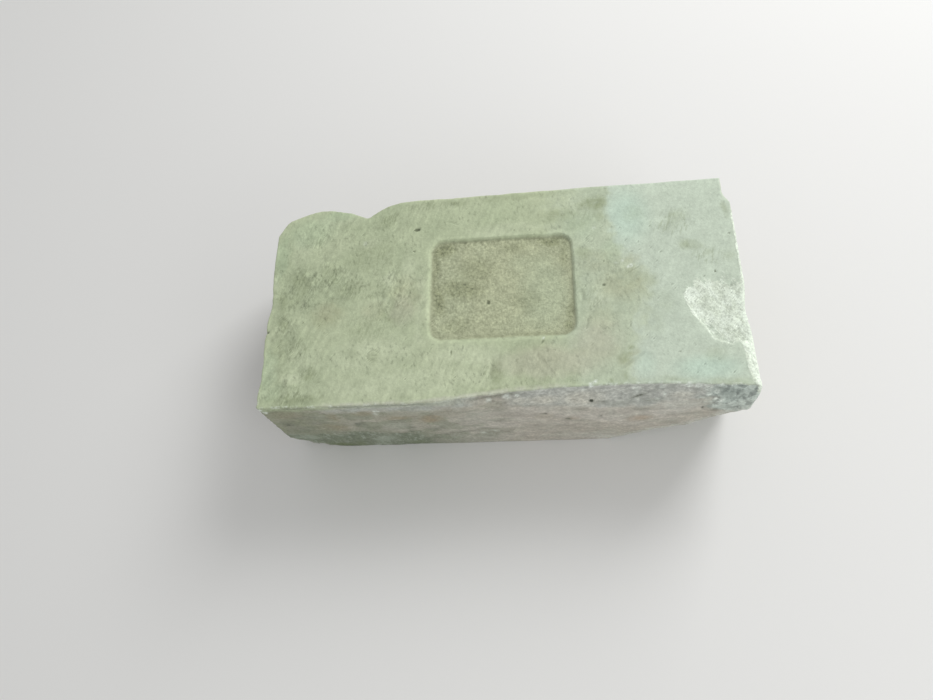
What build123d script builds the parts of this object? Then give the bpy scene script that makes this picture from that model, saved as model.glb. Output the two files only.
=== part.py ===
from build123d import *
from math import hypot
import os

# A fire brick of the standard straight format: one moulded and fired block of clay. Its upper bed face
# carries a shallow pressed panel with a plain floor, and its edges carry the knocks of a used brick.
# Millimetres. +X runs along the length, +Y across the width and +Z up. The origin is the centre of the
# underside. The front is the long face at -Y, and left and right are as seen from there.

# The block
LENGTH = 230.0
WIDTH = 114.0
HEIGHT = 65.0
FRONT_UPRIGHT_RADIUS = 1.5
BACK_UPRIGHT_RADIUS = 3.5
UPPER_EDGE_RADIUS = 0.8
LOWER_EDGE_RADIUS = 1.2

# The pressed panel: its mouth in the upper bed face, how deep it goes and how far its sides lean
PANEL_LENGTH = 70.5
PANEL_WIDTH = 55.5
PANEL_CORNER_RADIUS = 7.0
PANEL_DEPTH = 1.6
PANEL_SIDE_LEAN = 35.0
PANEL_FLOOR_RADIUS = 0.6
PANEL_RIGHT_OF_CENTRE = 1.9
PANEL_BACK_OF_CENTRE = 2.2

# Worn upper back edge at the left: a rounded lobe and a shoulder that meet in a notch. The points are in
# plan, from the back left corner: along the length, in from the back face.
LOBE_START = (0.0, 17.5)
LOBE_KNEE = (5.5, 9.0)
LOBE_CROWN = (24.0, 3.9)
NOTCH_TIP = (49.0, 8.9)
SHOULDER = (60.0, 3.2)
SHOULDER_END = (85.0, 0.0)
BACK_EDGE_RUN_OUT = 30.0
BACK_EDGE_LEAN_LEFT = 9.0

# Step worn into the right face at the back: in plan, from the back right corner
STEP_DEPTH = 3.4
STEP_CREST = 9.0
STEP_END = 15.0
STEP_RUN_OUT = 26.0

# Flake scars along two upper edges: where the middle of each scar is, how long it is, and how far it
# reaches into the upper face and down the side face there
FRONT_SCAR_FROM_RIGHT = 63.0
FRONT_SCAR_LENGTH = 176.0
FRONT_SCAR_INTO = 5.9
FRONT_SCAR_DOWN = 17.0
RIGHT_SCAR_FROM_FRONT = 19.0
RIGHT_SCAR_LENGTH = 44.0
RIGHT_SCAR_INTO = 5.5
RIGHT_SCAR_DOWN = 2.6

# Spall in the upper face at the right edge: a dished floor inside a broken outline, which fades out of
# the face at the back. The outline is in plan from the front right corner: in from the right face, back
# from the front face.
SPALL_OUTLINE = [(7.4, 25.4), (17.3, 25.9), (26.2, 42.6), (27.6, 49.5), (23.0, 64.0)]
SPALL_DEEPEST = (8.0, 34.0)
SPALL_DEPTH = 2.6
SPALL_FLOOR_RADIUS = 140.0

# Corners broken off at the foot of the front face: along the length, in from the front, and up
RIGHT_BREAK = (64.0, 18.0, 41.0)
LEFT_BREAK = (24.0, 9.0, 18.0)

# How far a cutting shape reaches past the faces that it opens
OVERSHOOT = 20.0

LEFT, RIGHT = -LENGTH / 2, LENGTH / 2
FRONT, BACK = -WIDTH / 2, WIDTH / 2
BOTTOM, TOP = 0.0, HEIGHT


def block():
    """The whole block, with all of its edges rounded."""
    solid = Box(LENGTH, WIDTH, HEIGHT, align=(Align.CENTER, Align.CENTER, Align.MIN))
    solid = fillet(solid.edges().filter_by(Axis.Z).group_by(Axis.Y)[0], FRONT_UPRIGHT_RADIUS)
    solid = fillet(solid.edges().filter_by(Axis.Z).group_by(Axis.Y)[-1], BACK_UPRIGHT_RADIUS)
    solid = fillet(solid.faces().sort_by(Axis.Z)[-1].edges(), UPPER_EDGE_RADIUS)
    return fillet(solid.faces().sort_by(Axis.Z)[0].edges(), LOWER_EDGE_RADIUS)


def leaning_cut(outline, lean):
    """What is lost below an outline in the upper face, where the wall leans outwards as it goes down. It
    also reaches as far above the face."""
    return extrude(Pos(0, 0, TOP) * outline, amount=lean.length, dir=lean, both=True)


def worn_back_edge():
    """What is lost from the upper back edge."""
    def at(point):
        return (LEFT + point[0], BACK - point[1])

    lobe = Spline(at(LOBE_START), at(LOBE_KNEE), at(LOBE_CROWN), at(NOTCH_TIP))
    others = Polyline(
        at(NOTCH_TIP),
        at(SHOULDER),
        at(SHOULDER_END),
        (LEFT + SHOULDER_END[0], BACK + OVERSHOOT),
        (LEFT - OVERSHOOT, BACK + OVERSHOOT),
        (LEFT - OVERSHOOT, BACK - LOBE_START[1]),
        at(LOBE_START),
    )
    outline = make_face(Curve() + [lobe, others])
    return leaning_cut(outline, Vector(-BACK_EDGE_LEAN_LEFT, NOTCH_TIP[1], -BACK_EDGE_RUN_OUT))


def worn_step():
    """What is lost from the right face at the back."""
    outline = make_face(Polyline(
        (RIGHT - STEP_DEPTH, BACK + OVERSHOOT),
        (RIGHT - STEP_DEPTH, BACK - STEP_CREST),
        (RIGHT, BACK - STEP_END),
        (RIGHT + OVERSHOOT, BACK - STEP_END),
        (RIGHT + OVERSHOOT, BACK + OVERSHOOT),
        close=True,
    ))
    return leaning_cut(outline, Vector(STEP_DEPTH, 0, -STEP_RUN_OUT))


def edge_scar(middle, inwards, length, into, down):
    """A ball that bites into an upper edge, over a length of it. At its middle it reaches into the upper
    face and down the side face by the amounts given."""
    upper_rim = ((length / 2) ** 2 + into**2) / (2 * into)
    side_rim = ((length / 2) ** 2 + down**2) / (2 * down)
    centre = middle - inwards * (upper_rim - into) + Vector(0, 0, side_rim - down)
    return Pos(centre) * Sphere(hypot(upper_rim - into, side_rim))


def spall():
    """What is lost from the upper face at the right edge."""
    inner = [(RIGHT - x, FRONT + y) for x, y in SPALL_OUTLINE]
    outline = make_face(Polyline(
        (RIGHT + OVERSHOOT, inner[0][1]),
        *inner,
        (RIGHT + OVERSHOOT, inner[-1][1]),
        close=True,
    ))
    column = extrude(Pos(0, 0, TOP - OVERSHOOT) * outline, amount=2 * OVERSHOOT)
    deepest = (RIGHT - SPALL_DEEPEST[0], FRONT + SPALL_DEEPEST[1])
    dish = Pos(*deepest, TOP - SPALL_DEPTH + SPALL_FLOOR_RADIUS) * Sphere(SPALL_FLOOR_RADIUS)
    return column & dish


def without_corner(solid, corner, reach):
    """The solid without one corner: a flat break through the three points that lie at the reaches given
    from the corner, each along one edge."""
    ends = []
    for axis in range(3):
        end = list(corner)
        end[axis] += reach[axis]
        ends.append(Vector(*end))
    across = (ends[1] - ends[0]).cross(ends[2] - ends[0])
    break_plane = Plane(origin=ends[0], x_dir=ends[1] - ends[0], z_dir=across)
    corner_is_above = across.dot(Vector(*corner) - ends[0]) > 0
    return split(solid, bisect_by=break_plane, keep=Keep.BOTTOM if corner_is_above else Keep.TOP)


def pressed_panel():
    """The shallow panel pressed into the upper bed face, with leaning sides and a rounded floor edge."""
    mouth = Pos(PANEL_RIGHT_OF_CENTRE, PANEL_BACK_OF_CENTRE, TOP) * RectangleRounded(
        PANEL_LENGTH, PANEL_WIDTH, PANEL_CORNER_RADIUS
    )
    panel = extrude(mouth, amount=-PANEL_DEPTH, taper=PANEL_SIDE_LEAN)
    floor = panel.faces().sort_by(Axis.Z)[0]
    return fillet(floor.edges(), PANEL_FLOOR_RADIUS)


def front_scar():
    """What is lost from the upper front edge."""
    middle = Vector(RIGHT - FRONT_SCAR_FROM_RIGHT, FRONT, TOP)
    return edge_scar(middle, Vector(0, 1, 0), FRONT_SCAR_LENGTH, FRONT_SCAR_INTO, FRONT_SCAR_DOWN)


def right_scar():
    """What is lost from the upper right edge, beside the front corner."""
    middle = Vector(RIGHT, FRONT + RIGHT_SCAR_FROM_FRONT, TOP)
    return edge_scar(middle, Vector(-1, 0, 0), RIGHT_SCAR_LENGTH, RIGHT_SCAR_INTO, RIGHT_SCAR_DOWN)


def brick():
    """The whole brick."""
    solid = block() - worn_back_edge() - worn_step()
    solid = solid - front_scar() - right_scar() - spall()

    along, across, up = RIGHT_BREAK
    solid = without_corner(solid, (RIGHT, FRONT, BOTTOM), (-along, across, up))
    along, across, up = LEFT_BREAK
    solid = without_corner(solid, (LEFT, FRONT, BOTTOM), (along, across, up))
    return solid - pressed_panel()


def main():
    os.makedirs("parts", exist_ok=True)
    export_step(brick(), "parts/brick.step")


main()
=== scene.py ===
import math

import bpy
import numpy as np
from mathutils import Matrix, Vector


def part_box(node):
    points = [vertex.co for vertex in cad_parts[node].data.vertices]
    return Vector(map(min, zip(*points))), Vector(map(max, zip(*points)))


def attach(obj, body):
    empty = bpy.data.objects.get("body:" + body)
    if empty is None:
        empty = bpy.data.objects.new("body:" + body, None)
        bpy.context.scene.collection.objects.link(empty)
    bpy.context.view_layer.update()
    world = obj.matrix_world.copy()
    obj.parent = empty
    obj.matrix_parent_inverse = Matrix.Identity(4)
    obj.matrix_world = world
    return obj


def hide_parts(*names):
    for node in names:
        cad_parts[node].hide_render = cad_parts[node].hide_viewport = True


# A used fire brick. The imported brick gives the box; one dense mesh, shaped here, stands for it. Sizes are in
# millimetres in the row frame, unless a name or a comment says otherwise: +X right along the length, +Y to
# the back, +Z up, with the origin at the centre of the underside. The mesh is made in metres.

MM = 0.001
# Each kind of noise adds its own number to this one
SEED = 20

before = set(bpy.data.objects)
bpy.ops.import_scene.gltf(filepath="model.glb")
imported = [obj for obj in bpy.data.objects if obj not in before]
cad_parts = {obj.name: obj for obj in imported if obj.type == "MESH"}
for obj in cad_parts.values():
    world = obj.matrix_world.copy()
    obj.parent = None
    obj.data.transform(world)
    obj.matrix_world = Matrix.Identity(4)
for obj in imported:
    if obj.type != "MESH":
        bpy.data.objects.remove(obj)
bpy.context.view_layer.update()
low, high = (np.array(corner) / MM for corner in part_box("brick"))
LEFT, FRONT, BOTTOM = low
RIGHT, BACK, TOP = high
HALF = (high - low) / 2
MIDDLE = (high + low) / 2

# How far the upper face lies below the top of the box, to leave room for what stands proud of it
SKIN = 0.45
FRONT_UPRIGHT_RADIUS, BACK_UPRIGHT_RADIUS = 1.2, 3.6
EDGE_RADIUS = 0.5

# Where the photograph was taken from, in metres from the row frame's origin
CAMERA_PLACE = (0.0229, -0.1653, 0.3612)

# The upper back edge is worn in two lobes that meet in a notch. Its outline in plan, from the back left
# corner: along the length, in from the back face.
BACK_WEAR = [
    (-3, 24), (-0.8, 20.5), (0.2, 18.4), (2.6, 14.6), (4.6, 10.9), (6.8, 8.9), (10.8, 7.2), (15, 5.9),
    (21, 4), (27.5, 4), (33, 5.2), (39.2, 6.5), (44.5, 8.6), (48.2, 10.8), (51.3, 8.1), (54.5, 6),
    (58.8, 3.6), (64.6, 1.9), (75, 1.2), (95, 1.5), (107, 1.1), (117, 1.3), (128, 0.4), (141, -0.2),
]
# How far the outline shifts, along the length and towards the back, over the depth of the run-out
BACK_WEAR_RUN_OUT = 30.0
BACK_WEAR_LEAN = (-9.0, 10.0)

# How far the left and the right edge of the upper face lie inside the box, from front to back
LEFT_EDGE = [
    (-57, 0.3), (-52, 0.1), (-47, 0.3), (-42.5, 1.2), (-37.5, 0.7), (-34, 1.1), (-29, 0.3), (-21, 0),
    (-17.5, 0.6), (-13, 0.2), (-7.5, 1), (-1, 1.6), (5, 0.9), (12.7, 0.3), (24.6, 0), (57, 0),
]
RIGHT_EDGE = [
    (-57, 0), (-31, 0), (-27, 0.4), (-20, 1.1), (-14, 1.3), (-10, 0.5), (-6, 0), (57, 0),
]

# Step worn into the right face at the back, in plan from the back right corner
STEP_OUTLINE = [
    (3.3, -6), (3.5, 1.5), (3.4, 5), (3.3, 9), (2.5, 11.2), (0.8, 14), (-1, 17),
]
# How far that outline shifts towards the right, over the depth of its run-out
STEP_RUN_OUT = 26.0
STEP_LEAN = 3.4

# Spall in the upper face at the right edge, in plan from the front right corner
SPALL_OUTLINE = [
    (-6, 22), (2, 23.5), (7.4, 25.2), (9.9, 23.3), (17.3, 25.9), (20.4, 32.1), (23.7, 37.3), (26.2, 42.6),
    (27.6, 49.5), (24.6, 54.6), (22, 64), (-6, 64),
]
SPALL_DEEPEST_FROM_RIGHT, SPALL_DEEPEST_FROM_FRONT = 8.0, 36.0
SPALL_DEPTH = 2.4
SPALL_FLOOR_RADIUS = 140.0
# How steeply its lip falls, by points along the length
SPALL_LIP_SLOPE = [(93, 0.4), (99, 0.2)]

# Flake scars along two upper edges: the middle, the way inwards, the length along the edge, and the reach
# into the upper face and down the side. Then the corners broken off the foot of the front face: the corner
# and the reach along each edge.
FRONT_SCAR = ((RIGHT - 63.0, FRONT, TOP), (0, 1, 0), 176.0, 5.9, 17.0)
RIGHT_SCAR = ((RIGHT, FRONT + 19.0, TOP), (-1, 0, 0), 44.0, 5.5, 2.6)
RIGHT_BREAK = ((RIGHT, FRONT, BOTTOM), (-64.0, 18.0, 41.0))
LEFT_BREAK = ((LEFT, FRONT, BOTTOM), (24.0, 9.0, 18.0))
# A low ridge across the right break
RIDGE, RIDGE_X, RIDGE_WIDTH = 1.2, 86.0, 14.0

# The pressed panel in the upper face. Its leaning sides are steep at the right and soft at the left.
PANEL_LENGTH, PANEL_WIDTH, PANEL_CORNER = 70.5, 55.5, 7.0
PANEL_X, PANEL_Y = 1.9, 2.2
PANEL_DEPTH = 1.5
# Width of each leaning side, and how far outside the mouth it begins to fall: right, left, back and front
PANEL_WALLS = (0.8, 2.2, 0.5, 3.6)
PANEL_LIPS = (0.2, 0.6, 0.0, 1.4)
# Height of the low rim along its left side
PANEL_RIM = 0.10

# Pits in the upper face, listed by place, width and depth, and how many small ones are strewn between them
STREWN_PITS = 110
PITS = [
    (-40.6, 37.4, 2.8, 0.9), (-41.7, 24.7, 1.5, 0.5), (-4.4, -5.8, 2.4, 0.7), (20.8, -28.6, 2.4, 0.3),
    (65.2, 17, 1.2, 0.28), (69.2, 18, 1.2, 0.22), (69, 22.5, 1.1, 0.22), (74.7, 18.6, 1.1, 0.2),
    (79.1, 16.1, 1.5, 0.4), (78.3, 2.4, 1.2, 0.16), (77.4, 0.4, 1.1, 0.16), (82.4, -2, 1.4, 0.22),
    (75.1, -8.9, 1.3, 0.2), (97.2, 1.6, 1.4, 0.3), (102.6, 3.6, 1.7, 0.45), (109.1, -3.7, 1.7, 0.26),
    (104, -47.5, 1.3, 0.26), (51, -0.4, 2.2, 0.4), (45.5, -12, 1.3, 0.3), (-22, -32, 1.9, 0.4),
    (-90, 37.8, 1.2, 0.3), (-114, -17, 2.2, 0.6), (112, 24, 1.6, 0.35), (88, -10, 1.5, 0.3),
]

# Rings pressed into the upper face: place, radius, width, depth, and from what angle to what angle in degrees
RINGS = [(-59.6, -31.8, 2.7, 1.1, 0.3, 30, 250), (45.8, 25.6, 1.7, 0.9, 0.22, 0, 360)]

# Narrow marks in the upper face: two ends, width and depth; what stands proud has a negative depth
GROOVES = [
    (40.3, -2.6, 40.9, -7.2, 3.2, 0.35), (42.4, -18.2, 41.4, -22.6, 1.3, 0.45),
    (-91.7, 35.5, -92.2, 29, 1.1, 0.28), (-89.9, 34, -90.4, 30, 1, 0.22), (-93.4, 33.5, -93.7, 30.5, 1, 0.18),
    (-25, 41.5, -19.5, 39.2, 1.4, 0.18), (17, -33, 26.5, -48, 3.4, 0.14), (-44.5, 11.5, -46.4, 5, 1.6, -0.18),
    (-46.4, 5, -43.6, 2, 1.6, -0.16), (-60.2, -31.5, -57.8, -31.8, 1.1, 0.2),
    (-60.4, -33.4, -58.6, -34.2, 1.1, 0.24), (-81, -33.5, -78.6, -30, 1.2, 0.16),
    (-78.6, -30, -74.6, -28.8, 1.2, 0.14), (-107.5, -9, -104, -12, 1.1, 0.22),
    (-104, -12, -106, -17, 1.1, 0.22), (-2.6, -37, -3.6, -46, 2.6, 0.2), (56, -43.5, 66, -36.5, 2.4, 0.18),
    (67.5, 8.2, 63, 5.6, 1.4, 0.22),
]

# The marks from here to the front face's are soft ovals on the upper face: place, half length, half width,
# strength and, where it has one, the oval's turn in degrees. First its colder and its warmer tints.
CHILL = [
    (-111.5, 26, 5, 15, 1), (-97, 40, 17, 12, 0.9, 15), (-84, 49, 14, 5, 0.9), (-111, -38, 5, 17, 0.9),
    (-108, -50, 6, 6, 0.6), (42, 34, 14, 12, 0.6), (56, 18, 7, 10, 0.6),
]
ROSY = [
    (24, -39, 32, 10, 1), (46, -30, 14, 13, 0.9), (-30, -12, 6, 12, 0.4), (-46, -8, 8, 12, 0.6),
    (-86, -8, 9, 7, 0.3),
]

# Dark stains and earthy ones
SMUDGES = [
    (48.5, 46.5, 9, 5.5, 0.9, 8), (40.5, 35.5, 8, 4.5, 0.35, 15), (-108.5, -1, 4.5, 8, 0.55),
    (-100, 9.5, 5.5, 8.5, 0.65, 20), (-84, 14, 6, 7, 0.45, 25), (-74, 4.5, 8, 5, 0.4, 20),
    (-106, -12.5, 3, 6, 0.6), (-90, -40.5, 2.6, 4, 0.65), (-96, -53, 15, 3, 0.65),
    (-50, -10.5, 7, 5.5, 0.6, 10), (-66, -18, 10, 5, 0.2, 20), (-59.4, -33, 3.2, 4.5, 0.5),
    (-0.5, -43.5, 3.8, 7, 0.85), (20, -42, 10, 7, 0.3, 30), (-36, 52, 7, 2.8, 0.5),
    (-21, 52.6, 7.5, 2.4, 0.75), (93.2, 18.8, 6.8, 3.8, 0.6, -8), (88.4, 35.6, 6, 5.5, 0.35),
    (-66, 24, 17, 9, 0.35, 15), (84, 30, 6, 4, 0.3, 20), (110, 12, 4, 4, 0.25, -10),
    (112, 38, 2.4, 5, 0.55, 10), (-102, 0, 5, 6, 0.4), (-106, -27, 8, 8, 0.36), (-60, 2, 7, 6, 0.3),
    (-86, -10, 8, 7, 0.36), (-70, -31, 4, 4, 0.3), (33, 40, 14, 5, 0.55, 5), (-5, -52.5, 9, 2.5, 0.6),
    (100, -53, 15, 3, 0.45), (50, -34, 8, 6, 0.3), (72, -20, 6, 10, 0.22), (68, 39, 7, 6, 0.22),
    (57.5, -38.5, 4.4, 3.2, 0.75, 10), (60.5, -33.8, 1.7, 1.3, 0.7), (57, -47.5, 1.6, 2.6, 0.45),
    (61.5, 3, 8, 6.5, 0.22), (101, 14, 3, 2, 0.3, 20), (50.8, -49.2, 1.4, 1.6, 0.6), (97.5, -39, 6, 5, 0.25),
    (-56, 44.5, 6, 4, 0.4, 30), (72, -50.5, 20, 2.2, 0.35), (51, 39, 4, 4, 0.45), (42, 18, 5, 5, 0.45),
    (10, -41, 4.5, 9, 0.55), (34, -45, 5, 4, 0.35), (2, 53.8, 50, 2.2, 0.4, 1), (78, -11, 7, 8, 0.2),
]
EARTH = [
    (61.5, -36.5, 4.5, 1.6, 0.6, 25), (58, -40, 6, 3.4, 0.3), (59, 0, 15, 11, 0.4), (-84, -9, 9, 8, 0.45),
    (-60, -8, 7, 6, 0.3), (64.5, 12.5, 5, 2.6, 0.35), (67.6, -0.5, 2.6, 5, 0.45), (50, 12, 14, 8, 0.3),
    (-45, 0, 9, 12, 0.35, 10), (30, -36, 26, 9, 0.3), (48, -20, 9, 14, 0.3),
]

# Paler and colder dust
PALER = [
    (-62, -32, 30, 12, 0.6, 8), (-92, -34, 13, 10, 0.4), (-45, -46, 60, 9, 0.55, 3), (6, 34, 22, 5, 0.6, 4),
    (-59, -3, 6, 4, 0.45), (-44, 12, 5, 14, 0.45), (-38, -2, 3, 26, 0.45), (19, -45.5, 3, 3.5, 0.45),
    (-101, 31, 7, 12, 0.4), (-83, 46, 18, 4, 0.35), (53, 29, 7, 8, 0.35), (62, 12, 9, 4, 0.45),
    (104, 16, 7, 10, 0.35), (-110.5, -2, 2.4, 8, 0.5), (-14, -34, 22, 7, 0.75), (-38, -24, 3, 6, 0.5),
    (-112, 11, 3, 5, 0.5), (-64, 31, 6, 3, 0.4, 20), (-110, -40, 3, 12, 0.4), (-98, -43, 9, 5, 0.6),
    (-62, -9, 5, 4, 0.5), (26, -31, 5, 4, 0.5), (48.5, -9, 5, 5, 0.9), (-53, 9, 5, 5, 0.6),
]
COLD = [(64, 38, 13, 19, 0.8), (93, -45, 17, 7, 0.8), (66, -42, 6, 8, 0.4)]

# Where it is rough with fine marks, and where it carries short dark brush strokes
BUSY = [
    (-92, 9, 30, 22, 1), (-52, 4, 18, 24, 0.8), (-105, -22, 11, 24, 0.7), (-98, -49, 16, 8, 0.9),
    (-88, 38, 20, 12, 0.8), (-60, 36, 24, 10, 0.6, 20), (52, 0, 17, 30, 0.55), (20, -43, 14, 10, 0.6),
    (84, 34, 18, 12, 0.3),
]
STROKES = [
    (-99, 10, 8, 11, 1), (-83, 12, 9, 8, 0.8), (-71, 5, 10, 8, 0.9), (-56, 44, 10, 5.5, 0.9, 20),
    (-92, 33, 9, 9, 0.6), (-95, -51.5, 15, 4.5, 1), (-97, -27, 6, 10, 0.9), (-105, -13, 4.5, 7, 0.9),
    (-48, -11, 9, 8, 0.7), (-3, -42, 6, 8, 0.9), (20, -42, 11, 8, 0.6), (86, 32, 13, 9, 0.5),
    (-63, -17, 14, 9, 0.5), (-24, -40, 7, 5, 0.5), (-60, 22, 14, 8, 0.6, 20), (45, 40, 9, 6, 0.4, 10),
    (46, -8, 8, 8, 0.4), (-35, 51, 22, 3.5, 0.6), (-90, -40, 6, 6, 0.8), (100, 12, 9, 6, 0.5),
]

# The whitest of the spall
SPALL_WHITE = [
    (89.6, -8.5, 3.8, 6.5, 1, 10), (92, -17, 3.6, 5, 0.9, 10), (97.5, -3.5, 4, 4, 0.5, 20),
    (97.5, -20, 4.5, 3.5, 0.6, -35), (112.5, -16, 2.2, 10, 0.95), (108, -9, 3, 5, 0.45),
    (97, -26, 2.6, 3, 0.7, -35), (104, -32, 2.4, 2.4, 0.6, -35), (104.5, -21.5, 5, 4.5, 0.75),
]

# Grime on the panel's floor, and the floor's smoother part
GRIME = [
    (-26.5, 24.5, 7.5, 5, 0.95, 20), (-31, 15, 2.8, 11, 0.75), (-29, -3, 4, 11, 0.85, 10),
    (-18, 2, 13, 6.5, 0.75, -10), (27, 26, 8, 3, 0.95, -5), (33, 18, 2.4, 8, 0.55), (8, 24.5, 8, 3.6, 0.4),
    (4, -24.6, 32, 2.2, 0.55), (33.5, -20, 2.6, 3.2, 0.8, 30), (34.5, -14, 2.6, 9, 0.6, -8),
    (-10, 12, 10, 9, 0.45), (-20, -18, 9, 5, 0.4), (14, -6, 9, 7, 0.3),
]
SMOOTH = [(23, -2, 15, 26, 1), (12, 14, 8, 9, 0.5)]

# Marks on the front face, as along, up, half length, half height, strength and turn. They lie where the line
# of sight of the photograph crosses the front plane. First its brown and its dark stains.
FRONT_BROWN = [
    (-104, 55, 9, 7.5, 0.95, -20), (-82, 48, 3.5, 7, 0.65), (-84, 34, 11, 7, 0.85, -10),
    (-65, 54, 8, 5, 0.55), (-51, 45, 8, 3.6, 0.75), (-35, 42, 6.5, 6.5, 1), (19, 41, 9, 6, 0.2),
    (65, 33, 6, 5, 0.6), (94, 57, 4, 4, 0.45), (32, 36, 4, 3, 0.4),
]
FRONT_DARK = [
    (-72.5, 37.5, 2.2, 2.8, 1), (-71, 36, 5, 7, 0.55), (-107, 41, 5, 6, 0.6), (-94, 42, 7, 4, 0.5),
    (-103, 33, 9, 6, 0.5), (-47, 30, 3, 8, 0.45), (-33, 27, 8, 5, 0.35), (-20, 21.5, 10, 1.6, 0.6, 12),
    (-8, 24, 7, 1.6, 0.45), (13, 56, 13, 1.6, 0.45), (1, 54, 4.5, 14, 0.3), (-42, 7, 4, 6, 0.6),
    (20, 44, 1.6, 1.6, 0.8), (31, 35.5, 2.4, 2.8, 0.8), (46, 37.5, 1.7, 1.5, 0.7), (41.4, 59.5, 1.5, 2.6, 1),
    (46.5, 58, 3.4, 2.6, 0.55), (54, 55, 8, 5, 0.4), (61.8, 64.3, 6, 2, 0.8, 45), (37, 49, 5, 3, 0.45),
    (69, 58, 7, 4, 0.5), (98, 42, 3.4, 3, 0.65), (94, 46, 2.6, 4, 0.55), (102, 54, 4, 5, 0.5),
    (90, 59.5, 2.4, 1.6, 0.7), (100, 66, 8, 7, 0.75), (66, 47, 6, 4, 0.3), (83, 22, 3, 2, 0.55, 30),
    (-96, 50, 8, 3, 0.4), (20, 24, 12, 6, 0.22),
]

# Holes, and white flecks of lime
FRONT_PITS = [
    (-72.6, 38, 1.2, 2.4, 0.45, 20), (41.4, 59.8, 1.1, 2.2, 1), (20.2, 44, 1, 1.6, 0.6),
    (31, 35, 1.1, 2, 0.6), (46.4, 37.5, 1, 1.2, 0.8), (61.8, 64.3, 4.8, 1, 0.45, 45),
    (-107.6, 39.5, 1.4, 1.8, 0.45), (92.4, 45, 0.9, 2.2, 0.6), (98.5, 42, 2, 3, 0.35), (-66, 61, 1, 1, 0.4),
]
FRONT_LIME = [
    (60.4, 73.5, 1.6, 3, 0.7), (60.3, 69, 1.6, 1.4, 0.5), (72.9, 65.8, 0.9, 2.2, 0.95),
    (70.3, 59.2, 1.6, 1.4, 0.7), (66.1, 58.9, 0.9, 1, 0.6), (88.1, 74.6, 2.4, 1.6, 0.8),
    (90.7, 69.1, 1.8, 3.8, 0.85, 35), (91.8, 63.5, 1.4, 3, 0.8), (89.5, 59.1, 2, 1, 0.7),
    (98.8, 53.9, 1.3, 2.4, 0.9), (97.7, 48.3, 1.6, 1.4, 0.6), (100.6, 47.9, 1.6, 1.2, 0.5),
]

# Lighter patches: over the whole face, in the worn band under its upper edge, and at its foot. Then the dark
# olive patches near the foot.
FRONT_LIGHT = [
    (-54, 33, 8, 8, 0.8, 20), (-90, 51, 6, 5, 0.55), (-59.6, 53.5, 2, 4.5, 1), (105, 38.5, 8, 2.4, 0.8, 20),
    (48, 6, 12, 3, 0.7), (-90, 20, 16, 4, 0.4), (-60, 18, 5, 7, 0.5), (40, 9, 22, 5, 0.4),
    (-45, 53, 12, 4, 0.45), (82, 50, 11, 9, 0.8), (-14, 45, 12, 14, 0.3), (106, 44, 6, 6, 0.35),
    (-60, 54, 3, 4, 0.6), (-35, 56, 4, 3, 0.5), (30, 60, 12, 4, 0.3), (78, 44, 10, 8, 0.25),
]
WORN_LIGHTER = [
    (9, 63, 5, 7, 0.7), (20, 63, 10, 7, 1), (37, 62, 11, 12, 1), (80, 63, 8, 6, 0.7), (-8, 64, 4, 4, 0.6),
]
FOOT_PATCHES = [(-105, 19, 8, 8, 0.9), (-64, 13, 8, 11, 0.9)]
OLIVE_FOOT_PATCHES = [(-87, 4, 13, 7, 1), (-48, 4, 8, 4, 0.5)]

# Lime on the arrises and the faces: place, reach and strength
LIME = [
    (64.4, 9.3, 65, 1.4, 0.95), (62.9, 8.6, 65, 1.2, 0.8), (60.4, 12, 65, 1.3, 0.45),
    (43.5, -49.2, 65, 1.7, 0.95), (57.2, 11.2, 65, 1.2, 0.3), (48.2, 32, 65, 1.4, 0.35),
    (21.4, -26.6, 65, 1.4, 0.8), (-67.5, 31, 65, 2.4, 0.18), (-113.8, -57, 62.5, 2.6, 0.95),
    (-112, -57, 59, 1.9, 0.85), (-58.9, -57, 55.5, 2.6, 0.85), (-60.2, -57, 52, 2, 0.7),
    (-42, -56.5, 61, 2.2, 0.4), (-5, -55.5, 61, 2.4, 0.55), (3.5, -54.8, 62, 2.8, 0.75),
    (8, -54.6, 62, 2.2, 0.65), (41.5, -51, 64, 1.9, 0.9), (38, -51.4, 62, 1.8, 0.45), (60.5, -53, 62, 2, 0.6),
    (73, -53, 62.5, 2.2, 0.7), (84, -53, 63.5, 2.6, 0.85), (88.5, -53.5, 63.3, 2.8, 0.85),
    (93, -54, 62, 2.4, 0.85), (96.5, -55, 60, 2.2, 0.65), (94.5, -56, 58, 1.7, 0.85),
    (96.3, -56.5, 55, 1.6, 0.85), (98, -57, 52, 1.5, 0.85), (99.4, -57, 49, 1.4, 0.75),
    (104, -57, 50, 1.5, 0.55), (-11.6, -57, 17, 2.2, 0.55), (-5, -57, 20, 1.8, 0.5),
]

# Curves by points. Across the width: where the pale dust and the painted light of the right part begin along
# the length, how soft their border is, and how wide the white rim of the right edge is.
PALE_START = [(-57, 55), (-40, 59), (-20, 63), (-5, 70), (3, 71), (14, 60), (24, 56), (57, 55)]
PALE_BORDER = [(-50, 7), (10, 8), (25, 3.5)]
RIM_WIDTH = [(-57, 1.6), (-50, 2.4), (-42, 3.8), (-33, 4.2), (-28, 3), (-12, 2.2), (0, 1.2), (34, 0.9)]
# Along the front face: how much lime lies on its upper arris, how far it has flaked, how much dust spills
# over it, how low its worn band reaches, and how dirty its foot is
ARRIS_LIME = [(-84, 0.7), (-70, 0.4), (20, 0.3), (40, 0.6), (80, 0.9), (110, 0.7)]
FRONT_FLAKED = [(-50, 1), (10, 0.3)]
FRONT_SPILL = [(-84, 0.9), (-72, 0.45), (-30, 0.35), (-10, 0)]
WORN_BAND_FOOT = [(-30, 56), (25, 56), (45, 51), (66, 50), (74, 56), (92, 59), (98, 52)]
FOOT_DIRT = [(-50, 1), (-38, 0.5), (-10, 0.35), (14, 0)]


# Noise

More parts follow.
